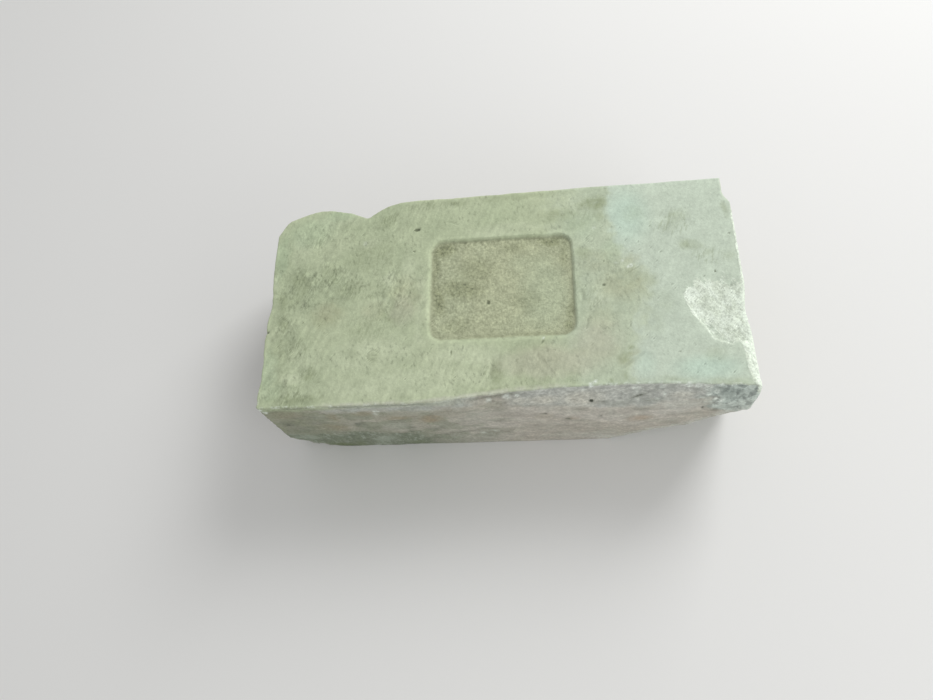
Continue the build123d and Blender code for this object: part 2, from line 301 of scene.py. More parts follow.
def hashed(ix, iy, iz, seed):
    """One pseudo-random unsigned integer for each lattice point."""
    h = ix.astype(np.uint32) * np.uint32(374761393)
    h += iy.astype(np.uint32) * np.uint32(668265263)
    h += iz.astype(np.uint32) * np.uint32(2147483647)
    h += np.uint32(seed * 974711 % 2**32)
    h = (h ^ (h >> np.uint32(13))) * np.uint32(1274126177)
    h = (h ^ (h >> np.uint32(15))) * np.uint32(2246822519)
    return h ^ (h >> np.uint32(16))


def noise(points, size, seed):
    """Smooth gradient noise, about -1 to 1, whose bumps are about SIZE across."""
    q = points / size
    cell = np.floor(q).astype(np.int64)
    part = q - cell
    fade = part**3 * (part * (part * 6 - 15) + 10)
    total = np.zeros(len(points))
    for corner in range(8):
        offset = np.array([corner & 1, corner >> 1 & 1, corner >> 2 & 1])
        h = hashed(*(cell + offset).T, seed)
        away = part - offset
        slope = np.stack([(h >> np.uint32(s) & np.uint32(1023)) / 511.5 - 1.0 for s in (0, 10, 20)], axis=1)
        weight = np.prod(np.where(offset == 1, fade, 1 - fade), axis=1)
        total += weight * np.sum(away * slope, axis=1)
    return total * 1.6


def layered(points, size, seed, layers=3, gain=0.5):
    """Noise summed over layers, each half the size of the one before."""
    total, height, full = np.zeros(len(points)), 1.0, 0.0
    for layer in range(layers):
        total += height * noise(points, size / 2**layer, seed + layer)
        full += height
        height *= gain
    return total / full


def streaks(points, angle, across, along, seed):
    """Noise drawn out along a direction in plan, given in degrees from +X."""
    c, s = math.cos(math.radians(angle)), math.sin(math.radians(angle))
    drawn = np.stack([
        (points[:, 0] * c + points[:, 1] * s) * across / along,
        points[:, 1] * c - points[:, 0] * s,
        points[:, 2] * 0.0,
    ], axis=1)
    return layered(drawn, across, seed, 2)


def step(a, b, value):
    """0 at a and before, 1 at b and after, smooth between them; a may be the larger."""
    t = np.clip((value - a) / (b - a), 0.0, 1.0)
    return t * t * (3 - 2 * t)


def curve(value, points):
    """A curve given by points, read at each value."""
    return np.interp(value, *zip(*points))


# Shapes as distances: negative inside, positive outside

def larger(a, b, blend):
    """The larger of two distances, rounded where they cross."""
    near = np.maximum(blend - np.abs(a - b), 0.0) / blend
    return np.maximum(a, b) + near * near * blend * 0.25


def rounded(a, b, radius):
    """Distance to where two distances are both inside, with the edge between them rounded."""
    a, b = a + radius, b + radius
    return np.hypot(np.maximum(a, 0), np.maximum(b, 0)) + np.minimum(np.maximum(a, b), 0) - radius


def softened(corners):
    """A closed outline with its corners cut twice, so that it runs round them."""
    for _ in range(2):
        pairs = zip(corners, corners[1:] + corners[:1])
        corners = [(ax + (bx - ax) * t, ay + (by - ay) * t)
                   for (ax, ay), (bx, by) in pairs for t in (0.25, 0.75)]
    return corners


def in_polygon(x, y, corners):
    """Distance in plan to a closed polygon."""
    nearest = np.full(len(x), np.inf)
    sign = np.ones(len(x))
    for i, (bx, by) in enumerate(corners):
        ax, ay = corners[i - 1]
        ex, ey = bx - ax, by - ay
        wx, wy = x - ax, y - ay
        t = np.clip((wx * ex + wy * ey) / (ex * ex + ey * ey), 0.0, 1.0)
        nearest = np.minimum(nearest, (wx - ex * t) ** 2 + (wy - ey * t) ** 2)
        above_a, above_b = y >= ay, y >= by
        left_of_edge = ex * wy > ey * wx
        crosses = (above_a & ~above_b & ~left_of_edge) | (~above_a & above_b & left_of_edge)
        sign = np.where(crosses, -sign, sign)
    return sign * np.sqrt(nearest)


def edge_ball(p, middle, inwards, length, into, down):
    """Distance to the ball that bites into an upper edge over LENGTH, by INTO and DOWN at its middle."""
    upper_rim = ((length / 2) ** 2 + into**2) / (2 * into)
    side_rim = ((length / 2) ** 2 + down**2) / (2 * down)
    centre = np.array(middle) - np.array(inwards) * (upper_rim - into) + np.array([0, 0, side_rim - down])
    return np.linalg.norm(p - centre, axis=1) - math.hypot(upper_rim - into, side_rim)


def corner_plane(p, corner, reach):
    """Distance to what lies beyond the plane through three points, each along one edge from a corner."""
    corner = np.array(corner)
    ends = corner + np.diag(reach)
    across = np.cross(ends[1] - ends[0], ends[2] - ends[0])
    across *= math.copysign(1 / np.linalg.norm(across), across @ (ends[0] - corner))
    return (p - ends[0]) @ across


def unevenness(p):
    """The noise that makes the forms uneven. It is read once for each ray, to keep the search quick."""
    flat = p * [1, 1, 0]
    return dict(
        level=0.20 * noise(flat, 52.0, SEED) + 0.10 * noise(flat, 17.0, SEED + 1),
        mouth=0.25 * noise(flat, 9.0, SEED + 2) + 0.18 * noise(flat, 2.4, SEED + 3),
        rough=layered(p, 9.0, SEED + 10, 3),
        fine=noise(p, 2.2, SEED + 14),
        flake=layered(p, 22.0, SEED + 20, 3),
        right_break=1.4 * layered(p, 20.0, SEED + 24, 4),
        left_break=1.0 * layered(p, 12.0, SEED + 28, 4),
        side=layered(p, 30.0, SEED + 40, 3),
        left=curve(p[:, 1], LEFT_EDGE) + 0.35 * noise(p * [0, 1, 0.5], 5.0, SEED + 45),
        right=curve(p[:, 1], RIGHT_EDGE) + 0.25 * noise(p * [0, 1, 0.5], 4.0, SEED + 47),
        arris=0.6 * np.abs(layered(p, 12.0, SEED + 50, 2)) + 0.9 * step(0.25, 0.8, noise(p, 24.0, SEED + 53)),
        nibble=step(0.25, 0.8, layered(p, 5.0, SEED + 56, 2)),
    )


def panel_inset(x, y):
    """Distance in from the panel's mouth: positive inside the panel."""
    qx = np.abs(x - PANEL_X) - (PANEL_LENGTH / 2 - PANEL_CORNER)
    qy = np.abs(y - PANEL_Y) - (PANEL_WIDTH / 2 - PANEL_CORNER)
    outside = np.hypot(np.maximum(qx, 0), np.maximum(qy, 0)) + np.minimum(np.maximum(qx, qy), 0)
    return PANEL_CORNER - outside


def panel_side(x, y, right, left, back, front):
    """One of four numbers, that of the panel's side which is nearest, eased into the next at the corners."""
    u, v = (x - PANEL_X) / (PANEL_LENGTH / 2), (y - PANEL_Y) / (PANEL_WIDTH / 2)
    at_end = step(-0.6, 0.6, np.abs(u) - np.abs(v))
    return np.where(u > 0, right, left) * at_end + np.where(v > 0, back, front) * (1 - at_end)


def upper_level(x, y, uneven):
    """Height of the upper face at each point in plan, with the panel in it."""
    inset = panel_inset(x, y) + uneven["mouth"]
    down_side = (inset + panel_side(x, y, *PANEL_LIPS)) / panel_side(x, y, *PANEL_WALLS)
    sunk = np.sin(np.clip(down_side, 0.0, 1.0) * math.pi / 2) ** 1.2
    left_rim = step(0.0, -1.2, inset) * step(-5.0, -1.8, inset) * step(-20.0, -34.0, x)
    return TOP - SKIN + uneven["level"] - PANEL_DEPTH * sunk + PANEL_RIM * left_rim


def losses(p, uneven):
    """Distance to each thing that the brick has lost, by name."""
    x, y, z = p.T
    depth, rough, fine = TOP - z, uneven["rough"], uneven["fine"]

    lean = depth / BACK_WEAR_RUN_OUT
    outline = softened([(-60.0, 30.0)] + BACK_WEAR + [(141.0, -60.0), (-60.0, -60.0)])
    back_wear = in_polygon(x - LEFT - BACK_WEAR_LEAN[0] * lean, BACK - y + BACK_WEAR_LEAN[1] * lean, outline)

    outline = STEP_OUTLINE + [(-40.0, 17.0), (-40.0, -40.0), (3.3, -40.0)]
    worn_step = in_polygon(RIGHT - x + STEP_LEAN * depth / STEP_RUN_OUT, BACK - y, outline)

    lip = in_polygon(RIGHT - x, y - FRONT, SPALL_OUTLINE) + 0.5 * rough + 0.35 * fine
    dish_middle = (RIGHT - SPALL_DEEPEST_FROM_RIGHT, FRONT + SPALL_DEEPEST_FROM_FRONT)
    dish_centre = (*dish_middle, TOP - SPALL_DEPTH + SPALL_FLOOR_RADIUS)
    dish = np.linalg.norm(p - dish_centre, axis=1) - SPALL_FLOOR_RADIUS + 0.45 * rough

    ridge = np.exp(-((x - RIDGE_X) / RIDGE_WIDTH) ** 2)
    return dict(
        back_wear=back_wear * 0.93 + 0.35 * rough + 0.15 * fine,
        worn_step=worn_step + 0.3 * rough,
        spall=larger(lip * curve(x, SPALL_LIP_SLOPE), dish, 1.2),
        front_scar=edge_ball(p, *FRONT_SCAR) + 0.7 * uneven["flake"] + 0.2 * fine,
        right_scar=edge_ball(p, *RIGHT_SCAR) + 0.5 * rough,
        right_break=corner_plane(p, *RIGHT_BREAK) + uneven["right_break"] + RIDGE * ridge,
        left_break=corner_plane(p, *LEFT_BREAK) + uneven["left_break"],
    )


def whole(p, uneven):
    """Distance to the brick."""
    x, y, z = p.T
    wave = 0.10 + 0.16 * uneven["side"]
    upper = step(TOP - 30.0, TOP - 10.0, z)
    half_x = HALF[0] - wave - upper * np.maximum(np.where(x < 0, uneven["left"], uneven["right"]), 0.0)
    half_y = HALF[1] - wave
    radius = np.where(y < 0, FRONT_UPRIGHT_RADIUS, BACK_UPRIGHT_RADIUS)
    plan = rounded(np.abs(x - MIDDLE[0]) - half_x, np.abs(y - MIDDLE[1]) - half_y, radius)
    plan += 0.5 * uneven["nibble"] * step(-4.0, 0.0, z - TOP)
    slab = np.maximum(z - upper_level(x, y, uneven), BOTTOM - z)
    return rounded(plan, slab, EDGE_RADIUS + uneven["arris"])


def shape(p, uneven):
    """Distance to the brick as it is now, less all that it has lost."""
    body = whole(p, uneven)
    for lost in losses(p, uneven).values():
        body = larger(body, -lost, 0.5)
    return body


# The mesh: a fine grid over the upper face, rings down the sides and a coarser grid under it, all of it drawn
# in onto the shape

# Cells of the fine grid, the height of the band of fine rings, and the height of one fine and one coarse ring
CELLS_X, CELLS_Y = 336, 168
FINE_BAND, FINE_RING, COARSE_RING = 12.0, 0.92, 1.36
# How far outside the box the net begins, and how far inside it lies the core that its points move towards
CLEARANCE, CORE_INSET = 1.0, 16.0
# The march onto the shape: the part of the distance taken in one step, the shortest and the longest step, and
# how often the last step is halved
STRIDE, SHORTEST, LONGEST, HALVINGS = 0.6, 0.12, 3.0, 7


def border(cells_x, cells_y):
    """Grid indices around the edge of a grid, in order, without repeating the first."""
    front = [(i, 0) for i in range(cells_x)]
    right = [(cells_x, j) for j in range(cells_y)]
    back = [(i, cells_y) for i in range(cells_x, 0, -1)]
    left = [(0, j) for j in range(cells_y, 0, -1)]
    return front + right + back + left


def add_sheet(points, faces, cells_x, cells_y, z, upwards):
    """A level grid over the whole net. Returns its border points in order."""
    xs = np.linspace(LEFT - CLEARANCE, RIGHT + CLEARANCE, cells_x + 1)
    ys = np.linspace(FRONT - CLEARANCE, BACK + CLEARANCE, cells_y + 1)
    start, row = len(points), cells_x + 1
    points.extend((x, y, z) for y in ys for x in xs)
    for j in range(cells_y):
        for i in range(cells_x):
            first = start + j * row + i
            quad = (first, first + 1, first + 1 + row, first + row)
            faces.append(quad if upwards else quad[::-1])
    return [start + j * row + i for i, j in border(cells_x, cells_y)]


def join(faces, upper, lower):
    """Faces between two rings of points, of which the lower has as many or half as many."""
    for k, here in enumerate(lower):
        after = lower[(k + 1) % len(lower)]
        if len(upper) == len(lower):
            faces.append((upper[k], here, after, upper[(k + 1) % len(upper)]))
        else:
            a, b, c = upper[2 * k], upper[2 * k + 1], upper[(2 * k + 2) % len(upper)]
            faces.extend([(a, here, b), (here, after, b), (b, after, c)])


def add_ring(points, faces, upper, z, every=1):
    """A ring of points below another, under every point of it or every second one."""
    start = len(points)
    points.extend((points[k][0], points[k][1], z) for k in upper[::every])
    lower = list(range(start, len(points)))
    join(faces, upper, lower)
    return lower


def net():
    """Points and faces of a closed net around the box."""
    points, faces = [], []
    net_top, net_bottom = TOP + CLEARANCE, BOTTOM - CLEARANCE
    fine_end = net_top - FINE_BAND
    coarse_start = fine_end - COARSE_RING
    ring = add_sheet(points, faces, CELLS_X, CELLS_Y, net_top, True)
    for z in np.linspace(net_top, fine_end, round(FINE_BAND / FINE_RING) + 1)[1:]:
        ring = add_ring(points, faces, ring, z)
    ring = add_ring(points, faces, ring, coarse_start, every=2)
    coarse_rings = round((coarse_start - net_bottom) / COARSE_RING)
    for z in np.linspace(coarse_start, net_bottom, coarse_rings + 1)[1:-1]:
        ring = add_ring(points, faces, ring, z)
    join(faces, ring, add_sheet(points, faces, CELLS_X // 4, CELLS_Y // 4, net_bottom, False))
    return np.array(points), faces


def drawn_in(points):
    """Each point moved straight towards the brick's core until it meets the shape."""
    target = np.clip(points, low + CORE_INSET, high - CORE_INSET)
    away = target - points
    reach = np.linalg.norm(away, axis=1)
    away /= reach[:, None]
    uneven = unevenness(points + away * CLEARANCE)

    def distance(rays, travel):
        here = points[rays] + away[rays] * travel[:, None]
        return shape(here, {name: values[rays] for name, values in uneven.items()})

    travel, before, inside = np.zeros(len(points)), np.zeros(len(points)), reach.copy()
    rays = np.arange(len(points))
    while len(rays):
        gap = distance(rays, travel[rays])
        past = gap < 0
        inside[rays[past]] = travel[rays[past]]
        rays, gap = rays[~past], gap[~past]
        before[rays] = travel[rays]
        travel[rays] += np.clip(STRIDE * gap, SHORTEST, LONGEST)
        rays = rays[travel[rays] < reach[rays]]
    rays = np.arange(len(points))
    for _ in range(HALVINGS):
        middle = (before + inside) / 2
        past = distance(rays, middle) < 0
        inside, before = np.where(past, middle, inside), np.where(past, before, middle)
    return points + away * inside[:, None]


# Marks, read at points on the surface

def spots(x, y, marks):
    """Soft oval spots: as strong as listed at the middle of each, 0 outside it."""
    total = np.zeros(len(x))
    for mark_x, mark_y, half_length, half_width, strength, *turned in marks:
        turn = math.radians(sum(turned))
        c, s = math.cos(turn), math.sin(turn)
        u = ((x - mark_x) * c + (y - mark_y) * s) / half_length
        v = ((y - mark_y) * c - (x - mark_x) * s) / half_width
        total = np.maximum(total, strength * step(1.25, 0.25, np.hypot(u, v)))
    return total


def seen_on_front(p):
    """Where the line of sight from the camera to each point crosses the front plane: along and up."""
    eye_x, eye_y, eye_z = (value / MM for value in CAMERA_PLACE)
    share = (FRONT - eye_y) / (p[:, 1] - eye_y)
    return eye_x + (p[:, 0] - eye_x) * share, eye_z + (p[:, 2] - eye_z) * share


def brush_marks(p):
    """Two fields of ridges left by a brush on the upper face, about -1 to 1, steep and slanting in plan."""
    brushed = step(45.0, -20.0, p[:, 0]) * step(-0.35, 0.45, noise(p, 26.0, SEED + 70))
    steep = streaks(p, 66.0, 2.6, 15.0, SEED + 71)
    slanting = streaks(p, 42.0, 3.4, 16.0, SEED + 73) * step(-0.1, 0.5, noise(p, 34.0, SEED + 75))
    return brushed * (steep + slanting)


def pit_depth(x, y):
    """Depth of the listed pits and of small ones strewn over the upper face."""
    rng = np.random.default_rng(SEED)
    strewn = [(rng.uniform(-110, 110), rng.uniform(-52, 52), rng.uniform(0.9, 1.5), rng.uniform(0.08, 0.28))
              for _ in range(STREWN_PITS)]
    place = np.stack([x, y, np.zeros(len(x))], axis=1)
    depth, ragged = np.zeros(len(x)), 0.35 * noise(place, 1.4, SEED + 65)
    for number, (pit_x, pit_y, across, deep) in enumerate(PITS + strewn):
        c, s = math.cos(2.4 * number), math.sin(2.4 * number)
        near = np.flatnonzero(np.abs(x - pit_x) + np.abs(y - pit_y) < 3 * across)
        u, v = x[near] - pit_x, y[near] - pit_y
        away = np.hypot((u * c + v * s) * 0.75, (v * c - u * s) * 1.3) / (across / 2) + ragged[near]
        depth[near] = np.maximum(depth[near], deep * step(1.15, 0.2, away))
    return depth


def groove_depth(x, y):
    """Depth of the narrow marks, below 0 where they stand proud."""
    depth = np.zeros(len(x))
    for ax, ay, bx, by, width, deep in GROOVES:
        ex, ey = bx - ax, by - ay
        t = np.clip(((x - ax) * ex + (y - ay) * ey) / (ex * ex + ey * ey), 0, 1)
        away = np.hypot(x - ax - ex * t, y - ay - ey * t) / (width / 2)
        depth += deep * step(1.1, 0.1, away)
    for ring_x, ring_y, radius, width, deep, begin, end in RINGS:
        turn = np.degrees(np.arctan2(y - ring_y, x - ring_x)) % 360
        away = np.abs(np.hypot(x - ring_x, y - ring_y) - radius) / (width / 2)
        depth += deep * step(1.1, 0.1, away) * ((turn >= begin) & (turn <= end))
    return depth


def cut_by(lost, name, soft=0.5):
    """1 on the surface that one of the losses has left, 0 elsewhere."""
    return step(-soft - 0.3, -0.1, -lost[name])


def read_masks(p, normals):
    """How far each kind of surface goes, from 0 to 1 at each point."""
    x, y, z = p.T
    uneven = unevenness(p)
    lost = losses(p, uneven)
    wobble = noise(p, 6.0, SEED + 60) + 0.5 * noise(p, 2.5, SEED + 61)
    inset = panel_inset(x, y) + uneven["mouth"]
    up = np.maximum(step(0.45, 0.8, normals[:, 2]), step(-1.8, -1.0, inset)) * step(TOP - 5.0, TOP - 3.4, z)
    front = step(-0.3, -0.7, normals[:, 1]) * (1 - up)
    masks = upper_masks(p, up, inset, wobble, lost) | side_masks(p, up, front, wobble, lost)
    masks |= front_masks(p, front, masks["broken"], wobble, lost)
    masks["lime"] = np.maximum(lime_spots(p), masks["lime"])
    return masks


def upper_masks(p, up, inset, wobble, lost):
    """The masks of the upper face, its panel and the white broken places at its right edge."""
    x, y, z = p.T

    def marked(marks, along=1.0, across=1.0):
        return spots(x + along * wobble, y + across * wobble, marks) * up

    # Paler and bluer towards the right of the upper face: pale dust, and painted light that falls brighter
    # there
    pale_and_lit = step(-1, 1, (x - curve(y, PALE_START) + 4.0 * wobble) / curve(y, PALE_BORDER))
    rim_width = curve(y, RIM_WIDTH) + 0.5 * wobble
    rim = step(rim_width + 0.6, rim_width - 0.4, RIGHT - x)
    rim *= step(TOP - 9.0, TOP - 2.5, z) * step(40.0, 34.0, y)
    behind_lip = 0.73 * (y + 22.0) + 0.68 * (x - 92.0)
    spalled = cut_by(lost, "spall") * step(5.0, -6.0, y + 4.0 * wobble)
    spalled *= 0.5 + 0.5 * step(-1.0, 5.0, behind_lip + 2.5 * wobble)
    cream = up * step(2.6, 0.8, np.minimum(lost["front_scar"], y - FRONT) + 0.5 * wobble)
    return dict(
        up=up,
        panel=step(0.1, 1.4, inset) * up,
        panel_wall=step(-0.4, 0.6, inset) * step(2.0, -0.8, inset - panel_side(x, y, *PANEL_WALLS)),
        pale_and_lit=np.maximum(pale_and_lit, 0.45 * step(18, 46, x + 6.0 * wobble)) * up,
        cold=spots(x, y, COLD) * pale_and_lit * up,
        paler=marked(PALER, 2, 2),
        strokes=marked(STROKES),
        fresh=np.maximum(spalled, np.maximum(cut_by(lost, "right_scar"), 0.85 * rim)),
        # Height of the brush ridges, for painted light on the ridges and painted shade between them
        brush_ridge_shading=np.clip(0.5 + 0.7 * brush_marks(p), 0, 1),
        busy=marked(BUSY, 3, 3),
        tip=np.maximum(spots(x + wobble, y + wobble, SPALL_WHITE), 0.6 * rim),
        smudge=marked(SMUDGES, 1, 1.5),
        earth=marked(EARTH, 2, 1),
        grime=spots(x + wobble, y + wobble, GRIME) * step(0.1, 1.0, inset),
        smooth=marked(SMOOTH),
        pit=np.clip(pit_depth(x, y) / 0.45, 0, 1) * up,
        chill=marked(CHILL, 2, 2),
        rosy=marked(ROSY, 2, 2),
        cream=cream * step(-88.0, -76.0, x) * step(36.0, 20.0, x),
        lip=step(-46.0, -50.0, y) * step(TOP - 4.5, TOP - 2.0, z) * curve(x, ARRIS_LIME),
    )


def side_masks(p, up, front, wobble, lost):
    """The masks that all the sides share: broken, flaked, and dust that spills over from the upper face."""
    x, y, z = p.T
    patchy = np.where(y > FRONT + 4.0, 0.6, curve(x, FRONT_FLAKED))
    over_front = front * step(TOP - 7.0, TOP - 2.5, z + wobble) * curve(x, FRONT_SPILL)
    spill = 1.5 + 5.0 * step(-0.2, 0.5, noise(p * [1, 1, 0.4], 16.0, SEED + 103)) + 2.0 * wobble
    over_others = 0.85 * (1 - front) * (1 - up) * step(TOP - spill - 2.5, TOP - spill + 1.5, z)
    return dict(
        broken=np.maximum(cut_by(lost, "right_break"), cut_by(lost, "left_break")),
        flaked=(1 - up) * step(0.0, 0.10, layered(p * [1, 1, 1.5], 12.0, SEED + 101, 4)) * patchy,
        over=np.maximum(over_front, over_others * step(0.0, 0.6, spill)),
    )


def front_masks(p, front, broken, wobble, lost):
    """The masks of the front face: stains, the worn band, the chips at the right end and the dirty foot."""
    x, z = p[:, 0], p[:, 2]
    seen_x, seen_z = seen_on_front(p)

    def marked(marks, along=1.0, upwards=1.0):
        return spots(seen_x + along * wobble, seen_z + upwards * wobble, marks) * front

    band_foot = curve(x, WORN_BAND_FOOT)
    worn = cut_by(lost, "front_scar", 1.4) * step(0, 9, x)
    foot_top = 24.0 - 5.0 * step(-90, -10, x) + 3.5 * wobble + 3.0 * noise(p, 20.0, SEED + 63)
    haze = step(44.0, 22.0, z + 5.0 * wobble) * step(-40.0, -75.0, x)
    chip_foot = TOP - 24.0 - 0.5 * (x - 97)
    dusty = front * step(TOP - 15.0, TOP - 5.0, z + 2.0 * wobble)
    seam = front * np.exp(-((z - TOP + 2.0 + 0.5 * wobble) / 0.9) ** 2) * step(30.0, 0.0, x)
    return dict(
        worn_light=marked(WORN_LIGHTER),
        worn=worn * step(band_foot - 2.5, band_foot + 2.5, seen_z + 2.5 * wobble),
        chipped=step(86.0, 100.0, x + 4.0 * wobble) * front * step(chip_foot, chip_foot + 5.0, z),
        foot=front * np.maximum(step(foot_top + 5.0, foot_top - 4.0, z), 0.5 * haze) * curve(x, FOOT_DIRT),
        foot_light=marked(FOOT_PATCHES, 1, 2),
        olive_foot=marked(OLIVE_FOOT_PATCHES),
        dusty=dusty * step(-98.0, -76.0, x) * step(-2.0, -20.0, x),
        front_pit=marked(FRONT_PITS, 0.2, 0.2) * (1 - broken),
        lime=marked(FRONT_LIME, 0.5, 1),
        seam=seam * step(-0.4, 0.3, noise(p, 14.0, SEED + 67)),
        frayed=front * step(2.6, 0.5, lost["right_break"] + 0.4 * wobble),
        light=marked(FRONT_LIGHT),
        # Darker towards the left end of the front face: painted shade
        left_shade=front * np.clip(0.55 * step(20, -60, x) + 0.45 * step(-75, -106, x), 0, 1),
        brown=marked(FRONT_BROWN, 2, 1),
        dark=marked(FRONT_DARK, 0.6, 0.5),
    )


def lime_spots(p):
    """Ragged spots of lime on the arrises and faces."""
    total, ragged = np.zeros(len(p)), 0.5 * np.abs(noise(p, 2.0, SEED + 66))
    for x, y, z, reach, strength in LIME:
        away = np.linalg.norm(p - (x, y, z), axis=1) / reach
        total = np.maximum(total, strength * step(1.0, 0.5, away + ragged))
    return total


# Relief: the ridges of the brush marks and of the spall, the depth of flaked places, of the holes in the
# front face and of the small pits in the sides, and how far anything may stand proud
BRUSH_HEIGHT, HACKLE_HEIGHT = 0.11, 0.15
FLAKE_DEPTH, HOLE_DEPTH, SIDE_PIT_DEPTH = 0.24, 0.45, 0.35
MOST_PROUD = 0.40


def relief(p, masks):
    """How far the finished surface stands proud of the shape: brush marks, grain, pits and broken texture."""
    x, y = p[:, 0], p[:, 1]
    up, panel, fresh = masks["up"], masks["panel"], masks["fresh"]
    open_face = up * (1 - panel) * (1 - fresh)
    proud = open_face * BRUSH_HEIGHT * brush_marks(p)
    proud += open_face * (0.035 * layered(p, 3.2, SEED + 76, 2) + 0.03 * noise(p, 1.5, SEED + 78))
    proud -= up * (pit_depth(x, y) + groove_depth(x, y))

    coarse = 0.35 + 0.65 * step(14.0, -14.0, x + 0.4 * y)
    crumbs = step(22.0, 27.0, y) + step(-26.0, -31.0, x) * step(-6.0, 4.0, y)
    grain = 0.15 * noise(p, 1.7, SEED + 80) + 0.10 * noise(p, 3.6, SEED + 81)
    proud += panel * (1.5 * grain * (coarse + 1.4 * np.minimum(crumbs, 1)) + 0.16 * noise(p, 11.0, SEED + 82))
    proud += panel * 0.36 * layered(p, 6.0, SEED + 98, 3)
    proud += masks["grime"] * 0.30 * noise(p, 1.6, SEED + 79)
    proud += masks["panel_wall"] * up * 0.12 * noise(p, 2.2, SEED + 83) * (1 + crumbs)

    hackles = HACKLE_HEIGHT * streaks(p + 0.6 * noise(p, 5.0, SEED + 84)[:, None], -48.0, 1.5, 3.6, SEED + 85)
    proud += fresh * (hackles + 0.16 * noise(p, 1.6, SEED + 87) + 0.14 * noise(p, 5.0, SEED + 88))

    side = 1 - up
    drawn = 0.05 * layered(p * [0.14, 0.14, 1.0], 2.4, SEED + 90, 2) + 0.05 * layered(p, 5.0, SEED + 92, 2)
    torn = 0.45 * masks["broken"] + 0.30 * masks["foot"] + 0.35 * masks["chipped"] + 0.14 * masks["worn"]
    proud += side * (1 - fresh) * (drawn + torn * layered(p, 3.4, SEED + 94, 2))
    proud += side * masks["worn"] * 0.22 * layered(p, 2.6, SEED + 99, 2)
    proud -= FLAKE_DEPTH * masks["flaked"] + HOLE_DEPTH * masks["front_pit"]
    side_pits = step(0.72, 0.95, noise(p, 3.2, SEED + 96)) * step(-0.2, 0.5, noise(p, 30.0, SEED + 97))
    proud -= side * (1 - fresh) * SIDE_PIT_DEPTH * side_pits
    return np.minimum(proud, MOST_PROUD)


def hollowness(mesh, points, normals):
    """How hollow the surface is, in 1/mm and below 0 on an arris: at each vertex, and smoothed around it."""
    ends = np.empty(len(mesh.edges) * 2, dtype=np.int64)
    mesh.edges.foreach_get("vertices", ends)
    a, b = ends.reshape(-1, 2).T
    away = points[b] - points[a]
    span = np.sum(away * away, axis=1)
    count = np.bincount(a, minlength=len(points)) + np.bincount(b, minlength=len(points))
    bend = np.bincount(a, 2 * np.sum(normals[a] * away, axis=1) / span, len(points))
    bend -= np.bincount(b, 2 * np.sum(normals[b] * away, axis=1) / span, len(points))
    bend /= count
    broad = bend
    for _ in range(4):
        broad = (np.bincount(a, broad[b], len(points)) + np.bincount(b, broad[a], len(points))) / count
    return bend, broad


def normals_of(mesh):
    """The normal at each vertex."""
    values = np.empty(len(mesh.vertices) * 3)
    mesh.vertex_normals.foreach_get("vector", values)
    return values.reshape(-1, 3)


def move_to(mesh, points):
    """Moves the vertices to points given in millimetres."""
    mesh.vertices.foreach_set("co", (points * MM).ravel())
    mesh.update()


def brick_piece():
    """The whole brick as one object, with its masks as attributes of the vertices."""
    points, faces = net()
    points = drawn_in(points)
    mesh = bpy.data.meshes.new("brick_surface")
    mesh.from_pydata((points * MM).tolist(), [], faces)
    mesh.polygons.foreach_set("use_smooth", [True] * len(mesh.polygons))
    mesh.update()
    masks = read_masks(points, normals_of(mesh))
    points = np.clip(points + normals_of(mesh) * relief(points, masks)[:, None], low, high)
    move_to(mesh, points)
    fine, broad = hollowness(mesh, points, normals_of(mesh))
    # How hollow the surface is, fine and broad. The material uses these for painted shade in hollows and
    # creases and painted highlight on arrises.
    masks["crease"] = np.clip(0.5 + 0.9 * fine, 0, 1)
    masks["hollow"] = np.clip(0.5 + 1.6 * broad, 0, 1)
    for name, values in masks.items():
        mesh.attributes.new(name, "FLOAT", "POINT").data.foreach_set("value", values.astype(np.float32))
    piece = bpy.data.objects.new("brick_surface", mesh)
    bpy.context.scene.collection.objects.link(piece)
    return piece


# Materials

def srgb(red, green, blue):
    """A linear colour from the 0 to 255 numbers of a picture."""
    return tuple((c / 255 / 12.92 if c / 255 <= 0.04045 else ((c / 255 + 0.055) / 1.055) ** 2.4)
                 for c in (red, green, blue)) + (1.0,)


def plain(name, colour, roughness):
    """A material of one colour."""
    material = bpy.data.materials.new(name)
    material.use_nodes = True
    shader = material.node_tree.nodes["Principled BSDF"]
    shader.inputs["Base Color"].default_value = colour
    shader.inputs["Roughness"].default_value = roughness
    return material


